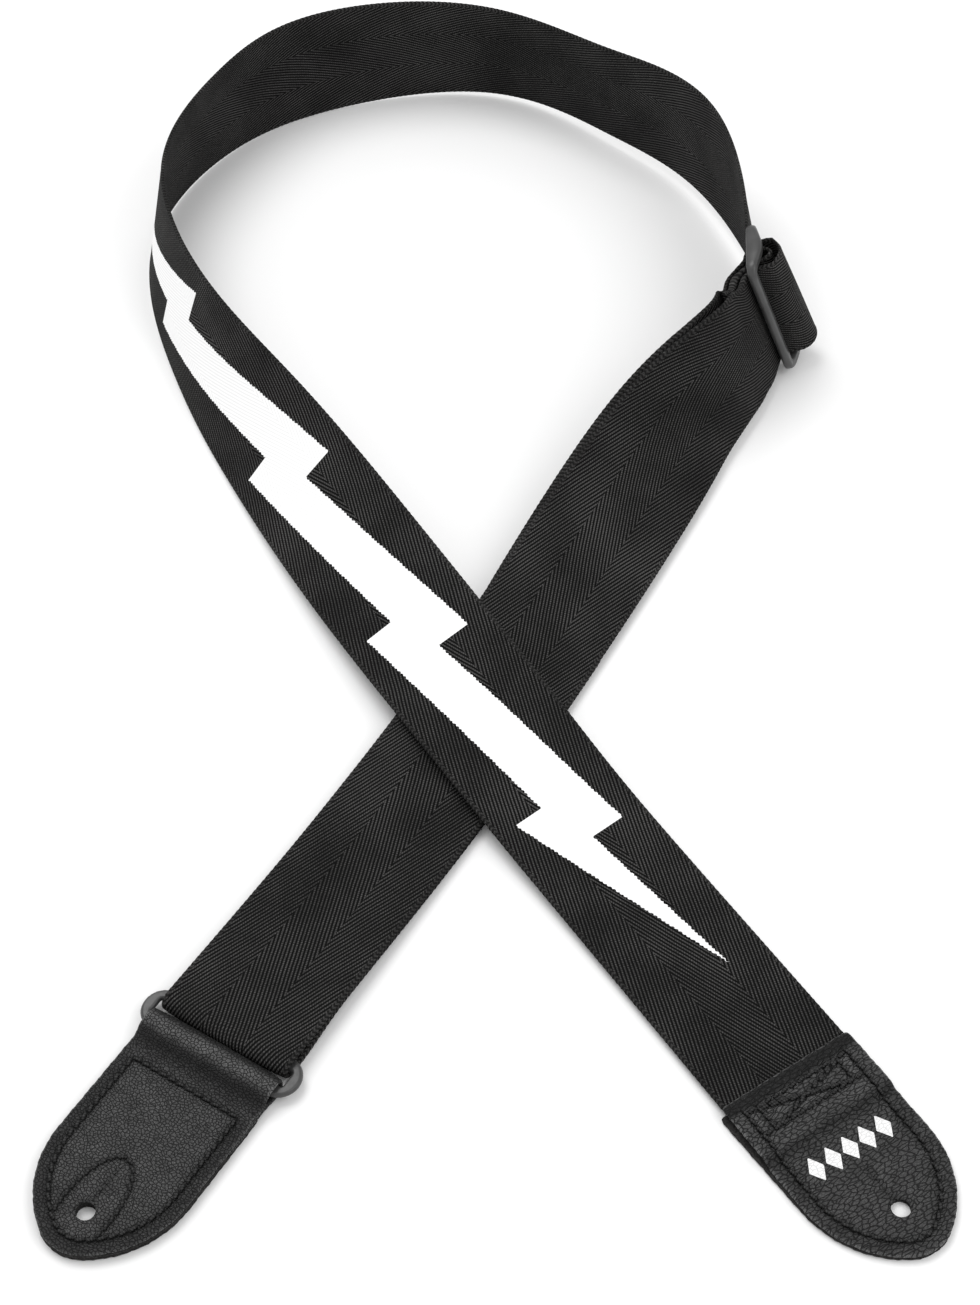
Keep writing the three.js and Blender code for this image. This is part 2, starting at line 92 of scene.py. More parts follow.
def soft_light(name, place, size, power):
    data = bpy.data.lights.new(name, "AREA")
    data.shape = "DISK"
    data.size = size
    data.energy = power
    light = add_object(name, data)
    light.location = place
    aim = Vector((0, 0, 0)) - Vector(place)
    light.rotation_euler = aim.to_track_quat("-Z", "Y").to_euler()


def make_studio():
    scene = bpy.context.scene
    scene.view_settings.view_transform = "Standard"
    world = bpy.data.worlds.new("studio")
    world.use_nodes = True
    background = world.node_tree.nodes["Background"]
    background.inputs["Color"].default_value = (1, 1, 1, 1)
    background.inputs["Strength"].default_value = WORLD_STRENGTH
    scene.world = world
    soft_light("key", *KEY_LIGHT)
    soft_light("fill", *FILL_LIGHT)
    bpy.ops.mesh.primitive_plane_add(size=FLOOR_SIZE, location=(0, 0, -FLOOR_DROP))
    floor = bpy.context.object
    floor.name = "floor"
    floor.data.materials.append(floor_material())


# ---------------- materials


class Nodes:
    """Short names for the nodes of one material."""

    def __init__(self, name):
        self.material = bpy.data.materials.new(name)
        self.material.use_nodes = True
        self.tree = self.material.node_tree
        self.shader = self.tree.nodes["Principled BSDF"]

    def link(self, value, socket):
        if isinstance(value, bpy.types.NodeSocket):
            self.tree.links.new(value, socket)
        else:
            socket.default_value = value

    def surface(self, colour, roughness, normal=None, specular=0.5):
        """Sets the shader's inputs, and returns the material."""
        given = {"Base Color": colour, "Roughness": roughness, "Specular IOR Level": specular}
        if normal:
            given["Normal"] = normal
        for name, value in given.items():
            self.link(value, self.shader.inputs[name])
        return self.material

    def node(self, kind, *values, operation=None, **inputs):
        """A new node, with values for its first inputs in order and for others by name."""
        made = self.tree.nodes.new("ShaderNode" + kind)
        if operation:
            made.operation = operation
        for socket, value in zip(made.inputs, values):
            self.link(value, socket)
        for name, value in inputs.items():
            self.link(value, made.inputs[name])
        return made

    def math(self, operation, *values, clamp=False):
        node = self.node("Math", *values, operation=operation)
        node.use_clamp = clamp
        return node.outputs[0]

    def times(self, first, *others):
        for other in others:
            first = self.math("MULTIPLY", first, other)
        return first

    def plus(self, a, b):
        return self.math("ADD", a, b)

    def minus(self, a, b):
        return self.math("SUBTRACT", a, b)

    def wave(self, value, pitch):
        return self.math("SINE", self.times(value, 2 * math.pi / pitch))

    def place(self, uv=None):
        """Object coordinates, or a named UV map."""
        if not uv:
            return self.node("TexCoord").outputs["Object"]
        node = self.node("UVMap")
        node.uv_map = uv
        return node.outputs["UV"]

    def parts(self, vector):
        return self.node("SeparateXYZ", vector).outputs

    def noise(self, vector, scale, detail, roughness=0.55):
        inputs = {"Vector": vector, "Scale": scale, "Detail": detail, "Roughness": roughness}
        return self.node("TexNoise", **inputs).outputs["Fac"]

    def patches(self, vector, scale, detail, low=0.0, high=1.0):
        """Soft patches with values from low to high."""
        return self.ramp(self.noise(vector, scale, detail), 0.3, 0.7, low, high)

    def stretched(self, vector, factors):
        return self.node("VectorMath", vector, factors, operation="MULTIPLY").outputs[0]

    def warped(self, vector, scale, reach):
        """The vector, moved about by up to half of reach."""
        colour = self.node("TexNoise", Vector=vector, Scale=scale).outputs["Color"]
        node = self.node("VectorMath", colour, (reach,) * 3, vector, operation="MULTIPLY_ADD")
        return node.outputs[0]

    def cells(self, vector, size):
        """Distance from the nearest edge between flat cells, 0 on it to about 0.5."""
        node = self.node("TexVoronoi")
        node.voronoi_dimensions = "2D"
        node.feature = "DISTANCE_TO_EDGE"
        self.link(vector, node.inputs["Vector"])
        self.link(1 / size, node.inputs["Scale"])
        return node.outputs["Distance"]

    def ramp(self, value, low, high, to_low=0.0, to_high=1.0):
        node = self.node("MapRange", value, low, high, to_low, to_high)
        node.interpolation_type = "SMOOTHSTEP"
        return node.outputs[0]

    def tone(self, value, stops):
        """Tone by straight runs between stops, each a value and the tone there, up to 1."""
        low, high = stops[0][0], stops[-1][0]
        node = self.node("ValToRGB")
        marks = node.color_ramp.elements
        for place, level in stops[1:-1]:
            marks.new((place - low) / (high - low)).color = (level, level, level, 1)
        for mark, (_, level) in zip((marks[0], marks[-1]), (stops[0], stops[-1])):
            mark.color = (level, level, level, 1)
        span = self.times(self.minus(value, low), 1 / (high - low))
        self.link(span, node.inputs["Fac"])
        return node.outputs["Color"]

    def mix(self, factor, a, b):
        node = self.node("Mix")
        node.data_type = "RGBA"
        self.link(factor, node.inputs["Factor"])
        self.link(a, node.inputs[6])
        self.link(b, node.inputs[7])
        return node.outputs[2]

    def bump(self, height, distance):
        return self.node("Bump", Height=height, Distance=distance).outputs[0]


def grey(level, warmth=0.0):
    return (level * (1 + warmth), level, level * (1 - warmth), 1)


def floor_material():
    return Nodes("floor").surface(grey(0.9), 0.9, specular=0.1)


WIDTH = 49.0  # of the webbing, in millimetres
WEAVE_UV = "weave"  # across the webbing and along it, in metres
RIB_PITCH = 1.2 * MM
RIB_LEAN = math.radians(20)  # of a rib from the strap's own direction
YARN_PITCH = 0.85 * MM
ZONE_HALF = WIDTH * MM / 6  # half of the middle one of the herringbone's three zones
SELVAGE = 1.5 * MM
SELVAGE_STARTS = WIDTH / 2 * MM - SELVAGE
BRAID_PITCH = 1.7 * MM


def weave_height(nodes):
    """Height 0..1 of the herringbone ribs, with their yarns, and of the braided selvage."""
    across, along, _ = nodes.parts(nodes.place(WEAVE_UV))
    wander = nodes.noise(nodes.place(WEAVE_UV), 60, 1.0)
    wander = nodes.times(nodes.minus(wander, 0.5), 0.5 * MM)
    reach = nodes.math("ABSOLUTE", across)
    outer = nodes.math("GREATER_THAN", reach, ZONE_HALF)
    turn = nodes.minus(nodes.times(outer, 2.0), 1.0)
    along_part = nodes.times(along, math.sin(RIB_LEAN), turn)
    beside = nodes.times(across, math.cos(RIB_LEAN))
    place = nodes.plus(nodes.minus(beside, along_part), wander)
    rib = nodes.ramp(nodes.wave(place, RIB_PITCH), -0.75, 0.65)
    yarn_place = nodes.plus(along, nodes.times(place, 0.9, turn))
    yarn = nodes.ramp(nodes.wave(yarn_place, YARN_PITCH), -1.0, 0.6, 0.62, 1.0)
    edge = nodes.math("GREATER_THAN", reach, SELVAGE_STARTS)
    chevron = nodes.math("ABSOLUTE", nodes.minus(reach, SELVAGE_STARTS + SELVAGE / 2))
    braid = nodes.ramp(nodes.wave(nodes.plus(along, chevron), BRAID_PITCH), -0.9, 0.8, 0.3, 0.72)
    body = nodes.times(rib, yarn, nodes.minus(1.0, edge))
    return nodes.plus(body, nodes.times(braid, edge))


def webbing_material():
    nodes = Nodes("webbing")
    place = nodes.place(WEAVE_UV)
    height = weave_height(nodes)
    fibre = nodes.noise(place, 2600, 2.0)
    # Painted highlight on the ribs and yarns and painted shade in the grooves between them: the colour
    # follows the weave's height.
    light = nodes.times(height, nodes.ramp(fibre, 0.3, 0.75, 0.55, 1.25))
    light = nodes.times(light, nodes.patches(place, 45, 3.0, 0.85, 1.12))
    # Broad random patches of painted sheen along the strap.
    painted_sheen_patches = nodes.patches(place, 12, 2.0, 0.84, 1.16)
    light = nodes.math("POWER", nodes.math("MULTIPLY", light, painted_sheen_patches, clamp=True), 2.0)
    colour = nodes.mix(light, grey(0.0008, 0.02), grey(0.085, 0.02))
    normal = nodes.bump(nodes.plus(height, nodes.times(fibre, 0.25)), 0.3 * MM)
    return nodes.surface(colour, 0.78, normal, 0.1)


def print_material():
    nodes = Nodes("white_print")
    height = weave_height(nodes)
    # Painted shade in the weave's grooves.
    shade = nodes.mix(nodes.ramp(height, 0.0, 0.35), grey(0.8), grey(0.92))
    return nodes.surface(shade, 0.6, nodes.bump(height, 0.04 * MM))


PLAIN_TONE = 0.25
# Tone along each tab's leather, as stops of (millimetres along the tab, tone). The sewn tab's stops
# give a pale cut edge and a dark burnished band at its straight end, then a painted highlight over the
# stitched box and painted shade where the leather steps down over the webbing's end. The hanging tab's
# stops are all painted light: a painted highlight along the roll's crest, painted shade beside it and
# in the valley in front of it, and painted light where the band rises to the cross seam.
SEWN_BURNISH_AND_PAINTED_LIGHT = [(0, 0.3), (0.9, 0.03), (4.2, 0.03), (5.6, 0.36), (20, 0.3), (23, 0.1), (27, PLAIN_TONE)]
HANGING_PAINTED_LIGHT = [(-3, 0.2), (-1.4, 0.95), (0.6, 0.9), (3, 0.22), (5.5, 0.14), (8, 0.2), (11, 0.4),
                (13.2, 0.36), (14.5, PLAIN_TONE)]
HIDE_UV = "hide"  # along a tab and across it, in metres
SEAM_UV = "seam"  # depth within the stitched panel, and depth from the leather's edge, in metres
STRAND_UV = "strand"  # turn round a thread in radians, and metres along it
PLY_PITCH = 0.7 * MM


def hide_grain(nodes, cell, stretch):
    """Leather's pebbles as 0..1, whose creases are 0, its pores as 0..1, and both as a height."""
    hide = nodes.stretched(nodes.place(HIDE_UV), stretch)
    crooked = nodes.warped(hide, 500, 1.3 * MM)
    pebbles = nodes.ramp(nodes.cells(crooked, cell), 0.0, 0.2)
    pores = nodes.ramp(nodes.cells(crooked, cell * 0.42), 0.0, 0.3)
    return pebbles, pores, nodes.plus(pebbles, nodes.times(pores, 0.35))


def leather_material(name, level, cell, stretch, rim, tone_stops_with_painted_light):
    """Grained leather, pale along its cut edge, with painted shade outside its stitched panel (down to
    rim), in its seam channels and in its grain's creases and pores, and toned along the tab by stops
    that hold burnishing and painted light.
    """
    nodes = Nodes(name)
    pebbles, pores, height = hide_grain(nodes, cell, stretch)
    panel, edge, _ = nodes.parts(nodes.place(SEAM_UV))
    cloud = nodes.patches(nodes.place(HIDE_UV), 120, 4.0, 0.8, 1.2)
    # Painted shade: darker by rim outside the stitched panel, where the leather slopes down to its
    # edge.
    inside = nodes.ramp(panel, -0.6 * MM, 1.2 * MM, rim, 1.0)
    # Painted shade in the channel that each seam presses in.
    seam = nodes.ramp(nodes.math("ABSOLUTE", panel), 0.2 * MM, 1.3 * MM, 0.6, 1.0)
    worn = nodes.ramp(edge, 0.15 * MM, 0.8 * MM, 2.6, 1.0)
    along = nodes.parts(nodes.place(HIDE_UV))[0]
    # Tone along the tab from the stops: burnishing on the sewn tab, painted highlight and painted
    # shade on both tabs.
    burnish_and_painted_light = nodes.tone(along, [(place * MM, tone) for place, tone in tone_stops_with_painted_light])
    shade = nodes.times(cloud, inside, nodes.times(seam, worn), nodes.times(burnish_and_painted_light, 1 / PLAIN_TONE))
    # Painted shade in the grain's creases and pores.
    grain = nodes.times(nodes.ramp(pebbles, 0, 1, 0.08, 1), nodes.ramp(pores, 0, 1, 0.45, 1))
    colour = nodes.mix(nodes.times(shade, grain, 0.5), grey(0.001), grey(level * 2))
    rough = nodes.ramp(pebbles, 0.0, 1.0, 0.55, 0.36)
    return nodes.surface(colour, rough, nodes.bump(height, 0.2 * MM), 0.2)


def raw_leather_material():
    """Fibrous flesh side and cut edges."""
    nodes = Nodes("raw_leather")
    fibre = nodes.noise(nodes.place(), 1800, 4.0, 0.7)
    cloud = nodes.patches(nodes.place(), 160, 3.0, 0.6, 1.0)
    light = nodes.times(nodes.ramp(fibre, 0.3, 0.7), cloud)
    colour = nodes.mix(light, grey(0.008), grey(0.05, 0.03))
    return nodes.surface(colour, 0.9, nodes.bump(fibre, 0.25 * MM), 0.15)


def tab_print_material():
    nodes = Nodes("tab_print")
    pebbles, _, height = hide_grain(nodes, 1.1 * MM, (1, 0.6, 1))
    # Painted shade in the grain's creases.
    shade = nodes.mix(pebbles, grey(0.62), grey(0.86))
    return nodes.surface(shade, 0.38, nodes.bump(height, 0.06 * MM))


def thread_material():
    nodes = Nodes("thread")
    turn, along, _ = nodes.parts(nodes.place(STRAND_UV))
    twist = nodes.plus(nodes.times(along, 2 * math.pi / PLY_PITCH), turn)
    ply = nodes.ramp(nodes.math("SINE", twist), -0.8, 0.8)
    # Painted highlight along each ply and painted shade between them.
    colour = nodes.mix(ply, grey(0.0015), grey(0.022))
    return nodes.surface(colour, 0.4, nodes.bump(ply, 0.08 * MM), 0.3)


def plastic_material():
    nodes = Nodes("plastic")
    grain = nodes.noise(nodes.place(), 2500, 2.0)
    colour = nodes.mix(nodes.patches(nodes.place(), 150, 2.0), grey(0.035), grey(0.05))
    rough = nodes.ramp(grain, 0.3, 0.7, 0.3, 0.42)
    return nodes.surface(colour, rough, nodes.bump(grain, 0.015 * MM))


# ---------------- the strap's path

# Millimetres from here to the end, as in the CAD source
THICKNESS = 1.4
LAYER_PITCH = 1.9
STATIONS = np.array([
    [93.6, -218.2, 0, 2.2], [49, -152, 0, 2.2], [24, -118, 1, 6], [-1, -83, 7, 11],
    [-45, -15, 23, 5.5], [-85, 50, 48, 0.5], [-116, 95, 73, 0.5], [-144, 173, 80, 1.5],
    [-114, 237, 82, 0.5], [-77, 273, 101, 0], [6, 284, 80, 2], [52, 239, 81, 5],
    [98, 210, 97, 7], [114, 98, 61, 7], [94, 80, 77, 3], [63, 41, 26, 3],
    [10, -57, 7, 2.9], [-32, -126, 3, 2.9], [-52.7, -158.9, 0, 5], [-81.3, -204.2, 0, 6.9],
])  # x, y, lean in degrees and lift of the lower edge
CENTRE_SHIFT = (-2.3, 1.3)
SLIDER_PLACE = 0.6985  # share of the strap's length at the slider
SLIDER_THICKNESS = 3.4
UNDER_BAR = SLIDER_THICKNESS / 2 + THICKNESS / 2 + 0.45
HUMP_HEIGHT = 11.3  # of the loop over the slider, above the bars
HUMP_HALF = 7
HUMP_REACH = 12.5
HOLD_FLAT = 13.5  # the webbing lies straight as far as this on both sides of the slider
HOLD_FREE = 26  # and free of it from here on
SEWN_WRAP = 3.4  # reach of the sewn loop to both sides of the middle bar
SEWN_BEHIND = UNDER_BAR - 6.7
SEWN_TAIL = UNDER_BAR - 4.6
SEWN_END = 26
CORNER_CUT = 3  # how far the returning layer dips on its way to the slider
WRAP_RISE = 3.05
WRAP_RUN = 3.7
WRAP_SETTLE = 32


def unit(vectors):
    return vectors / np.linalg.norm(vectors, axis=-1, keepdims=True)


def smooth(share):
    share = np.clip(share, 0, 1)
    return share * share * (3 - 2 * share)


class StrapPath:
    """The strap's centre line as a cubic B-spline, with the frame of the webbing along it."""

    def __init__(self):
        stations = STATIONS.copy()
        stations[:, :2] += CENTRE_SHIFT
        before = 2 * stations[0] - stations[1]
        after = 2 * stations[-1] - stations[-2]
        self.controls = np.vstack([before, stations, after])
        self.spans = len(stations) - 1
        self.steps = np.linspace(0, 1, 601)
        chords = np.linalg.norm(np.diff(self.centre(self.steps), axis=0), axis=1)
        self.reached = np.concatenate([[0], np.cumsum(chords)])
        self.length = self.reached[-1]
        self.slider = SLIDER_PLACE * self.length

    def channels(self, t):
        place = np.clip(t, 0, 1) * self.spans
        span = np.minimum(place.astype(int), self.spans - 1)
        f = (place - span)[:, None]
        weights = [(1 - f) ** 3, 3 * f**3 - 6 * f * f + 4, 1 + 3 * f + 3 * f * f - 3 * f**3, f**3]
        return sum(w * self.controls[span + j] for j, w in enumerate(weights)) / 6

    def centre(self, t):
        x, y, lean, lift = self.channels(t).T
        return np.column_stack([x, y, lift + WIDTH / 2 * np.sin(np.radians(lean))])

    def frames(self, s):
        """Origin, along, across and out at the distances s, straight on beyond the ends."""
        reached = np.clip(s, 0, self.length)
        t = np.interp(reached, self.reached, self.steps)
        along = unit(self.centre(t + 1e-4) - self.centre(t - 1e-4))
        along[(reached <= 0) | (reached >= self.length), 2] = 0
        along = unit(along)
        side = unit(np.cross(along, UP))
        lean = np.radians(self.channels(t)[:, 2:3])
        across = side * np.cos(lean) + np.cross(side, along) * np.sin(lean)
        out = np.cross(across, along)
        return self.centre(t) + along * (s - reached)[:, None], along, across, out

    def lay(self, s, across, out):
        """Points of the webbing: s along the strap, across it, and out from its centre line."""
        origin, _, sideways, outwards = self.frames(s)
        free = origin + sideways * across[:, None] + outwards * out[:, None]
        origin, along, sideways, outwards = (part[0] for part in self.frames(np.array([self.slider])))
        offset = (s - self.slider)[:, None]
        held = origin + along * offset + sideways * across[:, None] + outwards * out[:, None]
        return held + (free - held) * smooth((np.abs(offset) - HOLD_FLAT) / (HOLD_FREE - HOLD_FLAT))


strap = StrapPath()

# ---------------- mesh helpers


def make_object(name, points, faces, material, sharp=45):
    """A smoothly shaded mesh from points in metres, whose edges beyond sharp degrees stay sharp."""
    mesh = bpy.data.meshes.new(name)
    mesh.from_pydata(np.asarray(points).tolist(), [], faces)
    mesh.materials.append(material)
    mesh.shade_smooth()
    mesh.set_sharp_from_angle(angle=math.radians(sharp))
    return add_object(name, mesh)


def add_uv(made, name, values):
    """A named UV map from one (u, v) for each vertex."""
    layer = made.data.uv_layers.new(name=name)
    corners = np.zeros(len(made.data.loops), np.int32)
    made.data.loops.foreach_get("vertex_index", corners)
    layer.data.foreach_set("uv", np.asarray(values, np.float32)[corners].ravel())


def quad_rows(rows, count, base=0, closed=True):
    """Faces between successive rows of points."""
    faces = []
    for start in range(base, base + (rows - 1) * count, count):
        for k in range(count if closed else count - 1):
            a, b = start + k, start + (k + 1) % count
            faces.append((a, b, b + count, a + count))
    return faces


def cord_faces(rows, count, base=0):
    """Faces of a closed cord: round it, and at both its ends."""
    last = base + (rows - 1) * count
    ends = [tuple(base + k for k in range(count - 1, -1, -1)), tuple(range(last, last + count))]
    return quad_rows(rows, count, base) + ends


def bezier(a, b, c, d, count=24):
    t = np.linspace(0, 1, count)[:, None]
    points = [np.array(p, float) for p in (a, b, c, d)]
    weights = [(1 - t) ** 3, 3 * t * (1 - t) ** 2, 3 * t * t * (1 - t), t**3]
    return sum(w * p for w, p in zip(weights, points))


def arc(centre, radii, start, stop, count=24):
    turn = np.linspace(start, stop, count)
    return np.column_stack([centre[0] + radii[0] * np.cos(turn), centre[1] + radii[1] * np.sin(turn)])


def evenly(line, pitch):
    """The polyline again, with its points evenly spaced, and their distances along it."""
    line = np.asarray(line, float)
    steps = np.linalg.norm(np.diff(line, axis=0), axis=1)
    keep = np.concatenate([[True], steps > 1e-6])
    line = line[keep]
    reached = np.concatenate([[0], np.cumsum(np.linalg.norm(np.diff(line, axis=0), axis=1))])
    places = np.linspace(0, reached[-1], max(2, round(reached[-1] / pitch) + 1))
    return np.column_stack([np.interp(places, reached, column) for column in line.T]), places


# ---------------- webbing

ROW_PITCH = 0.8
SELVAGE_PITCH = 2.4
HIDDEN_END = 20.5  # of the webbing, between the leathers of the sewn tab
RETURN_DRIFT = 2.2  # of the returning layer, beyond the top layer's upper edge
# Both layers cut across the bend beyond the slider, as (distance from the slider, reach)
TOP_BOW = [(10, 0), (14, 1.6), (18, 2.2), (22, 1.5), (28, 0), (34, -1.1), (42, -1.7), (50, -1.4),
           (60, -0.4), (66, 0)]
UNDER_BOW = [(3, 0), (8, 3), (12, 4.6), (16, 4.8), (20, 4.1), (24, 2.4), (28, 0.9), (34, 0),
             (44, 0.3), (60, 0)]
HUMP_SLANT = 0.18  # the loop over the slider is lower at its upper edge and higher at its lower edge
HUMP_SHARE = 0.94  # of its height, in the middle
HUMP_PINCH = 0.28  # it is pinched at its upper edge
WRAP_BOW = 0.24  # the turn round the ring reaches further in its middle
SEWN_CREST = 6.6  # of the sewn loop above the middle bar
SEWN_TOP = UNDER_BAR + SEWN_CREST + 1


def bend_bow(s, bow):
    """The reach of a bow at the distances s, with its corners rounded."""
    return sum(np.interp(s - strap.slider + side, *np.array(bow).T) for side in (-3, -1, 1, 3)) / 4


def strip_profile():
    """Closed section of the webbing as (across, out), with rounded selvages."""
    half = WIDTH / 2
    inner = np.linspace(-half + 2.2, half - 2.2, 21)
    bead = np.array([[0.0, 0.0], [0.18, 0.42], [0.6, 0.66], [1.3, 0.74], [1.9, 0.68]])
    left = np.column_stack([bead[:, 0] - half, bead[:, 1]])
    right = np.column_stack([half - bead[::-1, 0], bead[::-1, 1]])
    top = np.vstack([left, np.column_stack([inner, np.full(len(inner), 0.66)]), right])
    bottom = top[-2:0:-1] * (1, -1)
    return np.vstack([top, bottom])


PROFILE = strip_profile()


def settle(s, across, out):
    """Small ways in which the webbing's layers don't lie square, as new s, across and out."""
    edge = across / (WIDTH / 2)
    under = np.clip(-out / LAYER_PITCH, 0, 1)
    returned = np.clip((s - strap.slider - 8) / 170, 0, 1)
    drift = RETURN_DRIFT * np.sin(math.pi * returned) ** 0.7 * under
    low = np.where(out > SEWN_TOP - 3, 0, 1)
    out = out - low * (bend_bow(s, TOP_BOW) * (1 - under) + bend_bow(s, UNDER_BOW) * under)
    near = np.abs(s - strap.slider) < 13
    raised = near & (out > SEWN_TOP)
    pinch = 1 - HUMP_PINCH * np.clip(edge, 0, 1) * np.clip((out - SEWN_TOP) / 3, 0, 1)
    s = np.where(near, strap.slider + (s - strap.slider) * pinch, s)
    beyond = s - strap.length
    s = np.where(beyond > 0, strap.length + beyond * (1 + WRAP_BOW * (1 - edge**4)), s)
    slanted = SEWN_TOP + (out - SEWN_TOP) * (HUMP_SHARE - HUMP_SLANT * edge)
    return s, across + drift, np.where(raised, slanted, out)


def ribbon(name, line, start, material):
    """A piece of the webbing along a line of (s, out), whose weave starts at start, and its length."""
    rows, places = evenly(line, ROW_PITCH)
    tangent = unit(np.gradient(rows, axis=0))
    count = len(PROFILE)
    across = np.tile(PROFILE[:, 0], len(rows))
    rise = np.tile(PROFILE[:, 1], len(rows))
    reached = np.repeat(places, count) + start
    bead = np.clip((np.abs(across) - WIDTH / 2 + 1.2) / 1.2, 0, 1)
    across = across * (1 + bead * 0.004 * np.cos(2 * np.pi * reached / SELVAGE_PITCH))
    s = np.repeat(rows[:, 0], count) - np.repeat(tangent[:, 1], count) * rise
    out = np.repeat(rows[:, 1], count) + np.repeat(tangent[:, 0], count) * rise
    points = strap.lay(*settle(s, across, out)) * MM
    made = make_object(name, points, cord_faces(len(rows), count), material)
    add_uv(made, WEAVE_UV, np.column_stack([across, reached]) * MM)
    return made, places[-1]


def hump_line(at):
    """The webbing's line over the slider, as (s, out)."""
    top = HUMP_HEIGHT + UNDER_BAR
    waist = UNDER_BAR + 3.5
    side = np.vstack([
        bezier((0, top), (4.6, top), (HUMP_HALF + 0.6, top - 2.8), (HUMP_HALF, waist)),
        bezier((HUMP_HALF, waist), (HUMP_HALF - 0.6, 1.2), (8, 0), (12, 0.05)),
        [[HUMP_REACH, 0.03]],
    ])
    return np.vstack([side[::-1] * (-1, 1), side]) + (at, 0)


TAB_SECTION = 60
SLIDER_SECTION = 60
RETURN_SECTION = 62
RETURN_LEAVES, RETURN_LIES = 50, 17  # where the returning layer leaves the top layer, and lies behind
# Where the webbing's pieces pass from one body to another, as start and end; those pieces are left in
# place, attached to neither body
TAB_BEND = (-1, 13)
SLIDER_BLEND = (58, 17)
RETURN_BLEND = (60, 19)


def sewn_loop(at):
    """The webbing's line from behind the slider round its middle bar to the free end, as (s, out)."""
    wrap, rise = SEWN_WRAP, 3.6 * SEWN_WRAP
    return np.vstack([
        bezier((rise, SEWN_BEHIND), (1.5 * wrap, SEWN_BEHIND), (wrap, UNDER_BAR - wrap),
               (0, UNDER_BAR - wrap)),
        arc((0, UNDER_BAR), (wrap, wrap), -math.pi / 2, -math.pi, 10),
        arc((0, UNDER_BAR), (wrap, SEWN_CREST), -math.pi, -2 * math.pi, 24),
        bezier((wrap, UNDER_BAR), (wrap, 0.6), (2 * wrap, SEWN_TAIL), (rise, SEWN_TAIL)),
        [[SEWN_END, SEWN_TAIL]],
    ]) + (at, 0)


def on_strap(s):
    return tuple(strap.lay(np.array([s]), np.zeros(1), np.zeros(1))[0] * MM)


def make_webbing(material):
    at = strap.slider
    end = strap.length
    hump = hump_line(at)
    loop = sewn_loop(at)
    before, after, returned = at - SLIDER_SECTION, at + SLIDER_SECTION, at + RETURN_SECTION
    leaves, lies = at + RETURN_LEAVES, at + RETURN_LIES
    pull = (leaves - lies) * 0.38
    wrap = np.vstack([
        arc((end, -WRAP_RISE), (WRAP_RUN, WRAP_RISE), math.pi / 2, -math.pi / 2),
        bezier((end, -2 * WRAP_RISE), (end - 0.4 * WRAP_SETTLE, -2 * WRAP_RISE),
               (end - 0.55 * WRAP_SETTLE, -LAYER_PITCH), (end - WRAP_SETTLE, -LAYER_PITCH)),
    ])
    back = bezier((leaves, -LAYER_PITCH), (leaves - pull, -LAYER_PITCH),
                  (lies + pull, SEWN_BEHIND - CORNER_CUT), (lies, SEWN_BEHIND))
    # Name, line, the body it rides on or the two it blends between and where, CAD nodes, and rest
    pieces = [
        ("tab_section", [(-HIDDEN_END, 0), (TAB_SECTION, 0)], ("sewn_tab", "strap", *TAB_BEND),
         ["webbing_tab_end", "webbing_tab_flex"], "sewn_tab_back_leather"),
        ("leg_and_arc", [(TAB_SECTION, 0), (before, 0)], ("strap",),
         ["webbing_front_leg", "webbing_arc"], "webbing_back_leg_run"),
        ("into_slider", [(before, 0), (at - 14, 0), hump[0]],
         ("strap", "slider", *(at - reach for reach in SLIDER_BLEND)), [], "slider"),
        ("slider_loop", hump, ("slider",), ["webbing_at_slider"], "slider"),
        ("out_of_slider", [hump[-1], (at + 14, 0), (after, 0)],
         ("slider", "strap", *(at + reach for reach in SLIDER_BLEND[::-1])), [], "slider"),
        ("back_leg_run", np.vstack([[(after, 0), (end, 0)], wrap, [(returned, -LAYER_PITCH)]]),
         ("strap",), ["webbing_back_leg"], "ring"),
        ("return_run", np.vstack([[(returned, -LAYER_PITCH)], back, loop[:1]]),
         ("strap", "slider", *(at + reach for reach in RETURN_BLEND)), [], "webbing_back_leg_run"),
        ("sewn_loop", loop, ("slider",), ["webbing_sewn_end"], "slider"),
    ]
    start = 0.0
    for name, line, (body, *others), nodes, rest in pieces:
        made, length = ribbon("webbing_" + name, np.array(line, float), start, material)
        start += length
        if others:
            on_strap(others[1])
            on_strap(others[2])
            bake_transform(made)
        else:
            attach(made, body)
        if nodes:
            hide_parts(*nodes)


# ---------------- slabs: leather and plastic plates

LEATHER = 1.2  # in the CAD
SWELL = 0.16  # the visual leathers are thicker by this
LAYER = 1.5
CREASED_LIFT = 0.14
TAB_HALF = 25.0
TAB_TIP_RADIUS = 15.0
TAB_STRAIGHT_STOP = 33.0
HOLE_RADIUS = 3.1
SLIT_HALF = 0.21
SLIT_REACH = 17.5
CHANNEL_DEPTH = 0.36  # of the channel that a seam presses into leather
CHANNEL_HALF = 0.9
PUFF = 0.14
PUFF_HALF = 2.2
DIMPLE_DEPTH = 0.16
DIMPLE_HALF = 0.7


def side_distance(points, polygon):
    """Signed distance of 2D points from a closed polygon, positive inside, and the nearest points."""
    edges = np.roll(polygon, -1, axis=0) - polygon
    best = np.full(len(points), np.inf)
    nearest = np.zeros_like(points)
    inside = np.zeros(len(points), bool)
    for start, edge in zip(polygon, edges):
        offset = points - start
        share = np.clip(offset @ edge / max(edge @ edge, 1e-12), 0, 1)
        touch = start + share[:, None] * edge
        distance = np.linalg.norm(points - touch, axis=1)
        closer = distance < best
        best[closer] = distance[closer]
        nearest[closer] = touch[closer]
        crosses = (start[1] > points[:, 1]) != (start[1] + edge[1] > points[:, 1])
        if edge[1]:
            at = start[0] + (points[:, 1] - start[1]) / edge[1] * edge[0]
            inside ^= crosses & (points[:, 0] < at)
    return np.where(inside, best, -best), nearest


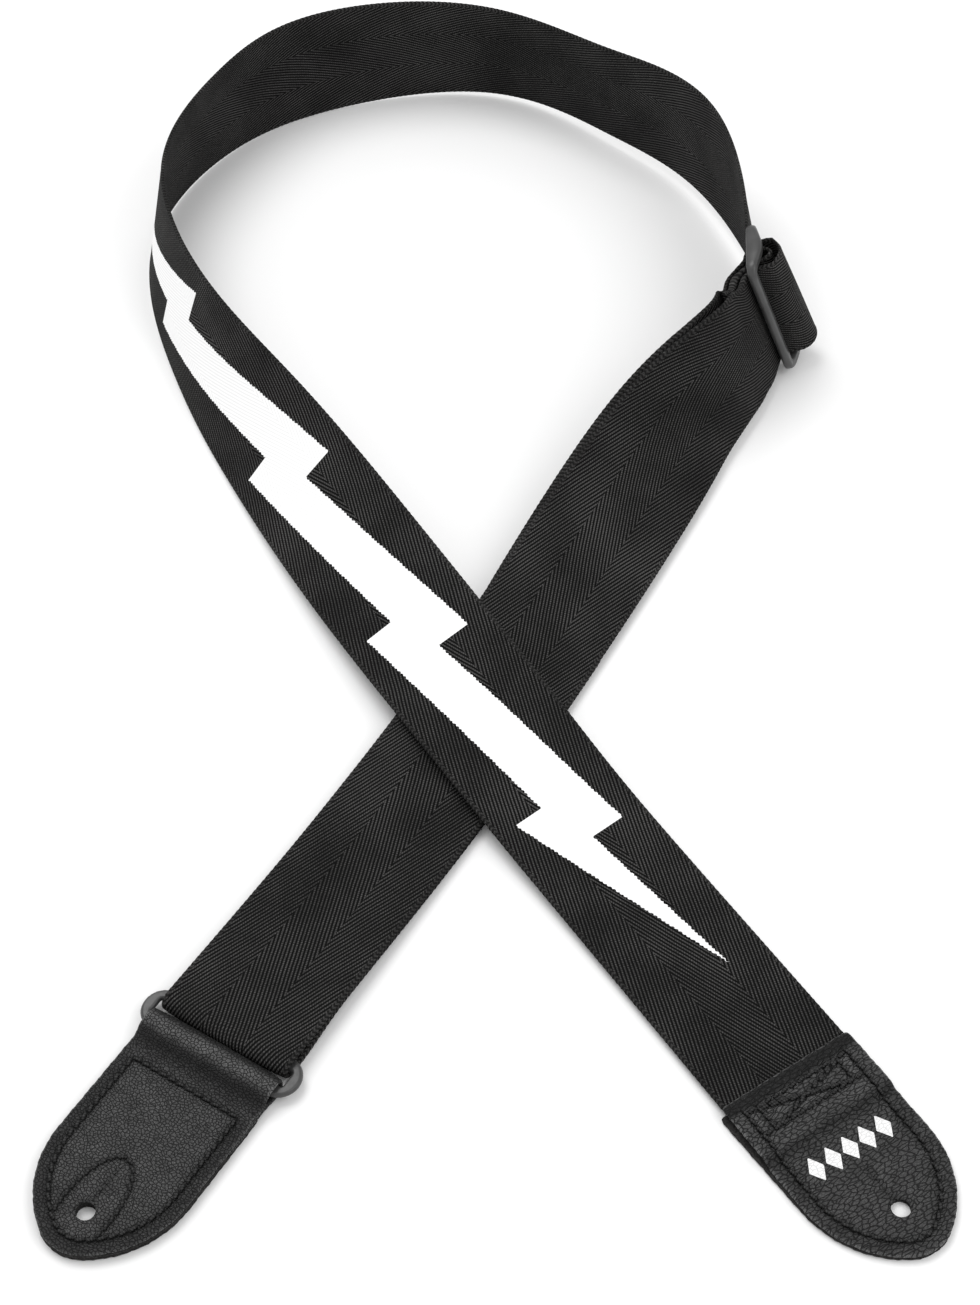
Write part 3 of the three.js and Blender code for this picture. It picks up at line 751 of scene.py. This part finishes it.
def slab(outline, holes, thickness, step=0.5, edge=0.45, shape=None):
    """A plate with rounded edges, from a closed outline and holes in millimetres.

    shape takes (x, y, z) and returns points. The result is points, faces and the flat plate's points.
    """
    low = outline.min(0) - step
    high = outline.max(0) + step
    xs = np.arange(low[0], high[0] + step, step)
    ys = np.arange(low[1], high[1] + step, step)
    grid = np.stack(np.meshgrid(xs, ys, indexing="ij"), -1).reshape(-1, 2)
    depth, nearest = side_distance(grid, outline)
    for hole in holes:
        into, touch = side_distance(grid, hole)
        closer = -into < depth
        depth = np.where(closer, -into, depth)
        nearest[closer] = touch[closer]
    rows, columns = len(xs), len(ys)
    good = (depth > -0.4 * step).reshape(rows, columns)
    cells = good[:-1, :-1] & good[1:, :-1] & good[:-1, 1:] & good[1:, 1:]
    index = np.arange(rows * columns).reshape(rows, columns)
    i, j = np.nonzero(cells)
    quads = np.column_stack([index[i, j], index[i + 1, j], index[i + 1, j + 1], index[i, j + 1]])
    sides = np.vstack([quads[:, [k, (k + 1) % 4]] for k in range(4)])
    keys = {tuple(side) for side in sides.tolist()}
    rim = [side for side in keys if (side[1], side[0]) not in keys]
    on_rim = np.unique(np.array(rim).ravel())
    grid[on_rim] = nearest[on_rim]
    depth[on_rim] = 0
    used, faces = np.unique(quads, return_inverse=True)
    faces = faces.reshape(-1, 4)
    count = len(used)
    number = {old: new for new, old in enumerate(used.tolist())}
    inward = np.clip(depth[used], 0, edge)
    drop = edge - np.sqrt(np.maximum(edge**2 - (edge - inward) ** 2, 0))
    height = thickness / 2 - drop
    x, y = grid[used].T
    top = np.column_stack([x, y, height])
    bottom = np.column_stack([x, y, -height])
    flat = np.vstack([top, bottom])
    points = flat if shape is None else shape(*flat.T)
    walls = [(number[b], number[a], number[a] + count, number[b] + count) for a, b in rim]
    all_faces = faces.tolist() + (faces[:, ::-1] + count).tolist() + walls
    return points, all_faces, flat


def bullet(tab, inset, start):
    """A tab's outline from one straight side round the tip to the other, set in from its edge."""
    tip_centre = tab["tip"] - TAB_TIP_RADIUS
    straight = tab["tip"] - TAB_STRAIGHT_STOP  # where the straight sides stop
    run = tip_centre - straight
    side = (run**2 + TAB_HALF**2 - TAB_TIP_RADIUS**2) / (2 * (TAB_HALF - TAB_TIP_RADIUS))
    turn = math.atan2(side - TAB_HALF, run)
    quarter = math.pi / 2
    return np.vstack([
        [[start, TAB_HALF - inset]],
        arc((straight, TAB_HALF - side), (side - inset,) * 2, quarter, turn, 12),
        arc((tip_centre, 0), (TAB_TIP_RADIUS - inset,) * 2, turn, -turn, 24),
        arc((straight, side - TAB_HALF), (side - inset,) * 2, -turn, -quarter, 12),
        [[start, inset - TAB_HALF]],
    ])


def keyhole(centre):
    mouth = math.asin(SLIT_HALF / HOLE_RADIUS)
    end = centre - SLIT_REACH
    return np.vstack([
        [[end, SLIT_HALF]],
        arc((centre, 0), (HOLE_RADIUS,) * 2, math.pi - mouth, mouth - math.pi, 36),
        [[end, -SLIT_HALF]],
    ])


def rounded_rectangle(width, height, radius, middle=0.0):
    x, y = width / 2 - radius, height / 2 - radius
    quarter = math.pi / 2
    return np.vstack([
        arc((cx, cy + middle), (radius, radius), k * quarter, (k + 1) * quarter, 10)
        for k, (cx, cy) in enumerate([(x, y), (-x, y), (-x, -y), (x, -y)])
    ])


class Basis:
    """A local frame in millimetres: a point and three directions, in the row frame."""

    def __init__(self, origin, x, y):
        self.origin = np.array(origin, float)
        self.x = unit(np.array(x, float))
        self.y = unit(np.array(y, float))
        self.z = np.cross(self.x, self.y)

    def world(self, points):
        points = np.asarray(points, float)
        spread = points[:, :1] * self.x + points[:, 1:2] * self.y + points[:, 2:3] * self.z
        return (self.origin + spread) * MM


def joint_place(name):
    return np.array(JOINTS[name]["pos_m"]) / MM


def tab_basis(joint):
    """The frame of a tab: x to its tip, y across, and z up from the floor, below the joint's axis."""
    y = -np.array(JOINTS[joint]["axis"])
    return Basis(joint_place(joint) * (1, 1, 0), np.cross(y, UP), y)


SEWN = {"name": "sewn_tab", "place": tab_basis("sewn_tab_flex"), "tip": 73.2, "hole": 56.8,
        "inset": 5.0, "seam": 4.5, "step": 21.0, "run": 3.5, "back": 1.5}
HANGING = {"name": "hanging_tab", "place": tab_basis("hanging_tab_swing"), "tip": 78.3,
           "hole": 63.8, "inset": 4.8, "seam": 13.8, "tail": 25.0, "back": 9.3, "top": 12.0}
EGG = {"middle": (62.8, 0), "radii": (19.5, 8.6), "opening": 1.24, "pitch": 3.0}
ROLL_RUN = 3
ROLL_RISE = 2.55
ROLL_BOW = 0.14  # the roll reaches further towards the webbing in its middle
WRINKLE = 0.09


def sewn_top(x):
    """Height of the sewn tab's top face."""
    raised = 0.6 + THICKNESS + 2 * LEATHER
    return raised + (LAYER + LEATHER - raised) * smooth((x - SEWN["step"]) / SEWN["run"])


def hanging_profile():
    """Centre line of the hanging tab's front leather from its flat part round the ring's bar."""
    middle = LEATHER / 2
    bar = joint_place("hanging_tab_swing")[2]
    face = 2 * LAYER + middle
    run, rise = ROLL_RUN + middle, ROLL_RISE + middle
    top, back, tail = HANGING["top"], HANGING["back"], HANGING["tail"]
    crown, floor = bar + rise, bar - rise
    return np.vstack([
        bezier((top, face), (8.5, face - 0.25), (6.2, face + 0.1), (4.9, face + 1.6)),
        bezier((4.9, face + 1.6), (4.2, face + 2.5), (2.6, crown), (0, crown)),
        arc((0, bar), (run, rise), math.pi / 2, 3 * math.pi / 2),
        bezier((0, floor), (3, floor), (back - 4, LAYER + middle), (back - 1, LAYER + middle)),
        [[tail, LAYER + middle]],
    ])


def along_profile(profile):
    """A shape for slab(): x below the profile's first x runs on along the profile."""
    line, places = evenly(profile, 0.2)
    tangent = unit(np.gradient(line, axis=0))
    first = line[0, 0]

    def shape(x, y, z):
        reach = np.maximum(first - x, 0)
        px, pz, tx, tz = (np.interp(reach, places, column) for column in (*line.T, *tangent.T))
        flat = x >= first
        wave = np.sin(1.9 * y + 1.3 * np.sin(0.5 * reach + 0.31 * y))
        wrinkle = WRINKLE * wave * np.sin(0.9 * reach + 0.4 * y)
        z = z + wrinkle * np.clip(reach / 2, 0, 1) * np.clip((16 - reach) / 4, 0, 1)
        px = np.where(flat, x, px + tz * z)
        px = np.where(px < 0, px * (1 + ROLL_BOW * (1 - (y / TAB_HALF) ** 4)), px)
        pz = np.where(flat, line[0, 1] + z, pz - tx * z)
        return np.column_stack([px, y, pz])

    return shape, places[-1]


def press(points, flat, stitches, slit):
    """Presses a sheet's top in along its seams and its slit, and deeper where a thread goes down."""
    ends = [(stitch[0], stitch[-1]) for stitch in stitches] + [slit]
    pressed = points.copy()
    for first, last in ends:
        start, run = first[:2], (last - first)[:2]
        share = np.clip((flat[:, :2] - start) @ run / (run @ run), 0, 1)
        gap = np.linalg.norm(flat[:, :2] - start - share[:, None] * run, axis=1)
        near = (gap < 4) & (flat[:, 2] > 0)
        sunk = np.where(near, CHANNEL_DEPTH * np.exp(-((gap / CHANNEL_HALF) ** 2)), 0)
        sunk += np.where(near, PUFF * np.exp(-((gap / PUFF_HALF) ** 2)), 0)
        pressed[:, 2] = np.minimum(pressed[:, 2], points[:, 2] - sunk)
    for hole in (end for pair in ends[:-1] for end in pair):
        gap = np.linalg.norm(flat[:, :2] - hole[:2], axis=1)
        near = (gap < 2.5) & (flat[:, 2] > 0)
        pressed[near, 2] -= DIMPLE_DEPTH * np.exp(-((gap[near] / DIMPLE_HALF) ** 2))
    return pressed


def leather(tab, part, node, outline, material, shape, panel, stitches=()):
    """A sheet of leather on a tab, which stands for a CAD node. panel is its stitched outline."""
    points, faces, flat = slab(outline, [keyhole(tab["hole"])], LEATHER + SWELL, shape=shape)
    if stitches:
        slit = np.array([[tab["hole"] - SLIT_REACH, 0, 0], [tab["hole"], 0, 0]])
        points = press(points, flat, stitches, slit)
    made = make_object(f"{tab['name']}_{part}", tab["place"].world(points), faces, material, sharp=60)
    add_uv(made, HIDE_UV, flat[:, :2] * MM)
    depths = [side_distance(flat[:, :2], line)[0] for line in (panel, outline)]
    add_uv(made, SEAM_UV, np.column_stack(depths) * MM)
    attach(made, tab["name"])
    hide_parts(f"{tab['name']}_{node}")


# ---------------- stitches

STITCH_PITCH = 3.3
STITCH_RADIUS = 0.56
STITCH_SLANT = 0.24  # sideways, at each of its ends
STITCH_SHARE = 0.76  # of the pitch that a stitch fills
STITCH_CROWN = 0.26  # of its middle above the leather
STITCH_DIVE = 0.4  # of its ends into it
STITCH_REACH = np.linspace(-1, 1, 7)


def stitch_line(line, height, pitch=STITCH_PITCH):
    """Single stitches along a line of (x, y), each as points (x, y, z) that dive at both ends."""
    points, places = evenly(line, pitch / 10)
    count = max(1, round(places[-1] / pitch))
    real = places[-1] / count
    swell = 1 - np.abs(STITCH_REACH) ** 4
    stitches = []
    for k in range(count):
        reach = (k + 0.5 + STITCH_SHARE / 2 * STITCH_REACH) * real
        x, y = (np.interp(reach, places, column) for column in points.T)
        run = unit(np.array([x[-1] - x[0], y[-1] - y[0]]))
        x, y = x - run[1] * STITCH_SLANT * STITCH_REACH, y + run[0] * STITCH_SLANT * STITCH_REACH
        z = height(x) + STITCH_CROWN * swell - STITCH_DIVE * (1 - swell)
        stitches.append(np.column_stack([x, y, z]))
    return stitches


def tube_mesh(lines, radius, sides=8):
    """Points, faces and (turn, distance) values of closed round cords along lines of points."""
    points, faces, values = [], [], []
    turn = np.linspace(0, 2 * np.pi, sides, endpoint=False)
    for line in lines:
        base = len(points)
        tangent = unit(np.gradient(line, axis=0))
        side = unit(np.cross(tangent, UP))
        up = np.cross(side, tangent)
        reached = np.concatenate([[0], np.cumsum(np.linalg.norm(np.diff(line, axis=0), axis=1))])
        for k, spot in enumerate(line):
            taper = radius * (0.6 if k in (0, len(line) - 1) else 1)
            ring = spot + taper * (np.cos(turn)[:, None] * side[k] + np.sin(turn)[:, None] * up[k])
            points.extend(ring)
            values.extend((angle, reached[k] * MM) for angle in turn)
        faces += cord_faces(len(line), sides, base)
    return np.array(points), faces, values


def sew(on, part, node, stitches, material):
    points, faces, values = tube_mesh(stitches, STITCH_RADIUS)
    made = make_object(f"{on['name']}_{part}", on["place"].world(points), faces, material, sharp=70)
    add_uv(made, STRAND_UV, values)
    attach(made, on["name"])
    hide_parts(f"{on['name']}_{node}")


# ---------------- the two tabs

CUT_WAVES = [(0.06, 0.7, 0), (0.07, 1.9, 1), (0.05, 4.1, 2)]  # size, turn per millimetre, start


def hand_cut(outline):
    """A closed outline again, a little uneven as a knife leaves it."""
    line, places = evenly(np.vstack([outline, outline[:1]]), 0.9)
    normal = unit(np.gradient(line, axis=0))[:, ::-1] * (1, -1)
    uneven = sum(size * np.sin(turn * places + start) for size, turn, start in CUT_WAVES)
    return (line + normal * uneven[:, None])[:-1]


def tab_corner(tab, start, radius=1.2):
    """A tab's closed outline with the corners at its straight end a little rounded."""
    x, y = start + radius, TAB_HALF - radius
    left = arc((x, -y), (radius, radius), 1.5 * math.pi, math.pi, 6)
    right = arc((x, y), (radius, radius), math.pi, math.pi / 2, 6)
    return hand_cut(np.vstack([bullet(tab, 0, x), left, right]))


def creased(x, y, z):
    """The sewn tab's front leather: stepped over the webbing's end, and creased from use."""
    lift = sewn_top(x) - LEATHER / 2
    bowl = 0.2 * np.sin(0.55 * x + 0.9 * np.sin(0.16 * y)) * np.exp(-(((x - 44) / 14) ** 2))
    ridge = 0.25 * np.exp(-(((x - SEWN["step"] - 0.4 - 0.03 * y) / 1.6) ** 2))
    return np.column_stack([x, y, z + lift + bowl + CREASED_LIFT + ridge])


BACK_SHIFT = 1.5  # of the sewn tab's back leather at its straight end, sewn on a little askew
BACK_SHIFT_ENDS = 48


def stacked(bottom):
    """A shape for slab(): a flat sheet whose underside is at a height."""

    def shape(x, y, z):
        return np.column_stack([x, y, z + bottom + (LEATHER + SWELL) / 2])

    return shape


def make_sewn_tab(front, raw, thread, print_white):
    def top(x):
        return sewn_top(x) + 0.12

    panel = bullet(SEWN, SEWN["inset"], SEWN["seam"])
    border = stitch_line(panel, top)
    near, far, outer, inner = 6.0, 15.0, 19.4, 15.5
    first, last, aside = near + 0.9, far - 0.2, inner - 1.8  # of the cross's second strokes
    bars = [
        [(near, -outer), (near, outer)], [(far, -outer), (far, outer)],
        [(near, -inner), (far, -inner)], [(near, inner), (far, inner)],
        [(near, -inner), (far, inner)], [(near, inner), (far, -inner)],
        [(first, -inner), (last, aside)], [(first, inner), (last, -aside)],
    ]
    box = [stitch for bar in bars for stitch in stitch_line(np.array(bar), top)]
    leather(SEWN, "front", "front_leather", tab_corner(SEWN, 0), front, creased, panel, border + box)
    back = tab_corner(SEWN, SEWN["back"])
    back[:, 1] -= BACK_SHIFT * np.clip(1 - back[:, 0] / BACK_SHIFT_ENDS, 0, 1)
    leather(SEWN, "back", "back_leather", back, raw, stacked(0), panel)
    sew(SEWN, "border_stitches", "border_thread", border, thread)
    sew(SEWN, "box_stitches", "box_thread", box, thread)
    make_lozenges(print_white)


LOZENGE_COUNT = 5
LOZENGE_PITCH = 6.6
LOZENGE_HALF = np.array([4.6, 2.8])  # along the tab and across it
LOZENGE_MIDDLE = 32.5


def make_lozenges(material):
    """A plain printed row of lozenges across the sewn tab."""

    def on_leather(x, y, z):
        return creased(x, y, z + LEATHER / 2 + 0.09)

    points, faces, hides = np.zeros((0, 3)), [], np.zeros((0, 2))
    for k in range(LOZENGE_COUNT):
        middle = np.array([LOZENGE_MIDDLE, (k - (LOZENGE_COUNT - 1) / 2) * LOZENGE_PITCH])
        corners = middle + LOZENGE_HALF * [(1, 0), (0, 1), (-1, 0), (0, -1)]
        more, more_faces, flat = slab(corners, [], 0.1, 0.3, 0.04, on_leather)
        faces += [tuple(corner + len(points) for corner in face) for face in more_faces]
        points = np.vstack([points, more])
        hides = np.vstack([hides, flat[:, :2]])
    made = make_object("sewn_tab_lozenge_print", SEWN["place"].world(points), faces, material)
    add_uv(made, HIDE_UV, hides * MM)
    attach(made, "sewn_tab")


def make_hanging_tab(front, raw, thread):
    def top(x):
        return np.full_like(x, 2 * LAYER + LEATHER + 0.05)

    inset, seam, open_by = HANGING["inset"], HANGING["seam"], EGG["opening"]
    half = TAB_HALF - inset
    panel = bullet(HANGING, inset, seam)
    border = stitch_line(bullet(HANGING, inset, seam + 0.4), top)
    cross = stitch_line(np.array([(seam, -half), (seam, half)]), top)
    egg_line = arc(EGG["middle"], EGG["radii"], open_by, 2 * math.pi - open_by, 60)
    egg = stitch_line(egg_line, top, EGG["pitch"])
    shape, length = along_profile(hanging_profile())
    outline = tab_corner(HANGING, HANGING["top"] - length)
    leather(HANGING, "front", "front_leather", outline, front, shape, panel, border + cross + egg)
    outline = tab_corner(HANGING, HANGING["tail"] + 0.3)
    leather(HANGING, "middle", "core", outline, raw, stacked(LAYER), panel)
    outline = tab_corner(HANGING, HANGING["back"])
    leather(HANGING, "back", "back_leather", outline, raw, stacked(0.08), panel)
    sew(HANGING, "border_stitches", "border_thread", border, thread)
    sew(HANGING, "cross_stitches", "seam_thread", cross, thread)
    sew(HANGING, "eye_stitches", "eye_thread", egg, thread)


# ---------------- slider and ring


SLOT_HALF = 25.6
SLIDER_LENGTH = 59
SLIDER_WIDTH = 29
SLIDER_ARCH = 2.8
SLIDER_BAR = 4.5
SLIDER_MIDDLE_BAR = 4.2
RING_LENGTH = 60
RING_WIDTH = 15.1
RING_SLOT = 5.9
RING_THICKNESS = 2.4


def plate(body, outline, holes, thickness, place, edge, material, shape=None):
    """A plastic plate that stands for its body's own node."""
    points, faces, _ = slab(outline, holes, thickness, 0.4, edge, shape)
    made = make_object(body + "_plate", place.world(points), faces, material, sharp=80)
    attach(made, body)
    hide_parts(body)


def arched(x, y, z):
    """The slider's ends stand up on its outer face, between its bars."""
    end = smooth((np.abs(x) - SLOT_HALF + 0.5) / 1.4)
    rise = SLIDER_ARCH * np.cos(math.pi * y / SLIDER_WIDTH) ** 2 * end
    return np.column_stack([x, y, z + np.where(z > 0, rise, 0)])


class BehindWebbing:
    """A place on the returning layer: x back across the strap, y past the slider and z away behind."""

    def world(self, points):
        x, y, z = np.asarray(points, float).T
        return strap.lay(*settle(strap.slider + y, -x, -z)) * MM


def make_hardware(plastic, thread):
    swing = joint_place("ring_swing")
    middle = (swing + joint_place("hanging_tab_swing")) / 2
    across = np.array(JOINTS["ring_swing"]["axis"])
    ring_place = Basis(middle, across, np.cross(UP, across))
    slot = rounded_rectangle(2 * SLOT_HALF, RING_SLOT, 0.8)
    outline = rounded_rectangle(RING_LENGTH, RING_WIDTH, 7.4)
    plate("ring", outline, [slot], RING_THICKNESS, ring_place, 1.1, plastic)
    origin, along, sideways, outwards = (part[0] for part in strap.frames(np.array([strap.slider])))
    slider_place = Basis(origin + outwards * UNDER_BAR, sideways, along)
    opening = (SLIDER_WIDTH - 2 * SLIDER_BAR - SLIDER_MIDDLE_BAR) / 2
    offset = (SLIDER_MIDDLE_BAR + opening) / 2
    slots = [rounded_rectangle(2 * SLOT_HALF, opening, 1.5, side * offset) for side in (-1, 1)]
    outline = rounded_rectangle(SLIDER_LENGTH, SLIDER_WIDTH, 6)
    plate("slider", outline, slots, SLIDER_THICKNESS, slider_place, 1.0, plastic, arched)

    def under(x):
        return np.full_like(x, THICKNESS / 2 - SEWN_BEHIND)

    seam = stitch_line(np.array([(-22, 16), (22, 16)], float), under)
    sew({"name": "slider", "place": BehindWebbing()}, "seam_stitches", "seam_thread", seam, thread)


# ---------------- white prints

BOLT_TIP = (42.0, 10.0)  # along the strap and across it
BOLT_STEPS = [(124.0 + 94 * k, 106.0 + 93 * k) for k in range(4)]  # of its left and right edges
BOLT_END = (505.0, -20.5)
BOLT_LEFT = (-16.5, -5.5)  # below and above a step
BOLT_RIGHT = (2.5, 15.5)


def bolt_edges():
    """The bolt's two edges as lines of (along, across), each with its steps."""
    left, right = [BOLT_TIP], [BOLT_TIP]
    for at_left, at_right in BOLT_STEPS:
        left += [(at_left, BOLT_LEFT[0]), (at_left + 0.5, BOLT_LEFT[1])]
        right += [(at_right, BOLT_RIGHT[0]), (at_right + 0.5, BOLT_RIGHT[1])]
    left.append(BOLT_END)
    right.append(BOLT_END)
    return np.array(left), np.array(right)


def make_bolt(material):
    left, right = bolt_edges()
    rows = np.arange(BOLT_TIP[0], BOLT_END[0] + 0.1, 0.5)
    low = np.interp(rows, *left.T)
    high = np.maximum(np.interp(rows, *right.T), low + 0.05)
    ragged = 0.22 * np.sign(np.sin(2 * np.pi * rows / 1.6))
    count = 12
    share = np.linspace(0, 1, count)
    across = (low + ragged)[:, None] * (1 - share) + (high + ragged)[:, None] * share
    s = np.repeat(rows, count)
    across = across.ravel()
    points = np.vstack([strap.lay(s, across, np.full(len(s), out)) for out in (0.74, 0.67)]) * MM
    size = len(rows) * count
    faces = quad_rows(len(rows), count, closed=False)
    faces += [tuple(size + k for k in face[::-1]) for face in faces]
    loop = list(range(count))
    loop += [i * count + count - 1 for i in range(1, len(rows))]
    loop += [size - 1 - j for j in range(1, count)]
    loop += [i * count for i in range(len(rows) - 2, 0, -1)]
    faces += [(b, a, a + size, b + size) for a, b in zip(loop, loop[1:] + loop[:1])]
    made = make_object("white_bolt_print", points, faces, material)
    add_uv(made, WEAVE_UV, np.tile(np.column_stack([across, s + HIDDEN_END]), (2, 1)) * MM)
    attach(made, "strap")


# ---------------- the scene

make_camera()
make_studio()
thread = thread_material()
raw_leather = raw_leather_material()
make_webbing(webbing_material())
make_bolt(print_material())
coarse_leather = leather_material("coarse_leather", 0.058, 1.2 * MM, (1, 0.45, 1), 0.8, SEWN_BURNISH_AND_PAINTED_LIGHT)
make_sewn_tab(coarse_leather, raw_leather, thread, tab_print_material())
fine_leather = leather_material("fine_leather", 0.072, 1.05 * MM, (1, 0.85, 1), 0.42, HANGING_PAINTED_LIGHT)
make_hanging_tab(fine_leather, raw_leather, thread)
make_hardware(plastic_material(), thread)
